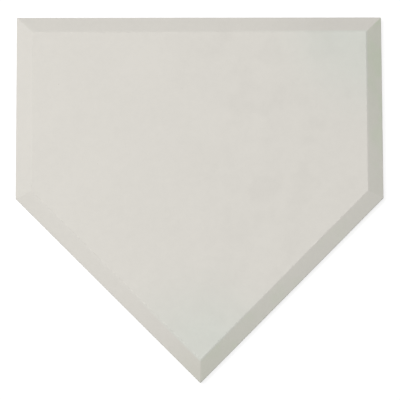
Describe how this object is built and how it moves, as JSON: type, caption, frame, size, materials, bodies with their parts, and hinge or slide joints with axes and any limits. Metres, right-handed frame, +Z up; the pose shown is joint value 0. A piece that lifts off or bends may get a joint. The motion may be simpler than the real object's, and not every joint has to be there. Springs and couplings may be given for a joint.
{
  "type": "home plate",
  "caption": "Five-sided white rubber home plate with a bevel round its flat top, filled from below by a plywood board that washered screws hold in the rubber's bottom lip.",
  "frame": {"origin": "on the ground under the middle of the plate's bounding box", "axes": "+Z up out of the top face, +Y towards the straight front edge, the point is towards -Y, +X to the right seen from above with the front edge at the top"},
  "size_m": [0.4318, 0.4318, 0.0254],
  "materials": {
    "white_rubber": "matte off-white moulded rubber with a fine grain",
    "plywood": "sanded bare plywood, pale tan, face grain along the front edge",
    "zinc_steel": "clear zinc-plated steel"
  },
  "bodies": {
    "root": {"rubber_cap": "white_rubber", "plywood_board": "plywood", "washer_01": "zinc_steel", "washer_02": "zinc_steel", "washer_03": "zinc_steel", "washer_04": "zinc_steel", "washer_05": "zinc_steel", "washer_06": "zinc_steel", "washer_07": "zinc_steel", "washer_08": "zinc_steel", "washer_09": "zinc_steel", "washer_10": "zinc_steel", "washer_11": "zinc_steel", "screw_01": "zinc_steel", "screw_02": "zinc_steel", "screw_03": "zinc_steel", "screw_04": "zinc_steel", "screw_05": "zinc_steel", "screw_06": "zinc_steel", "screw_07": "zinc_steel", "screw_08": "zinc_steel", "screw_09": "zinc_steel", "screw_10": "zinc_steel", "screw_11": "zinc_steel"}
  },
  "joints": []
}
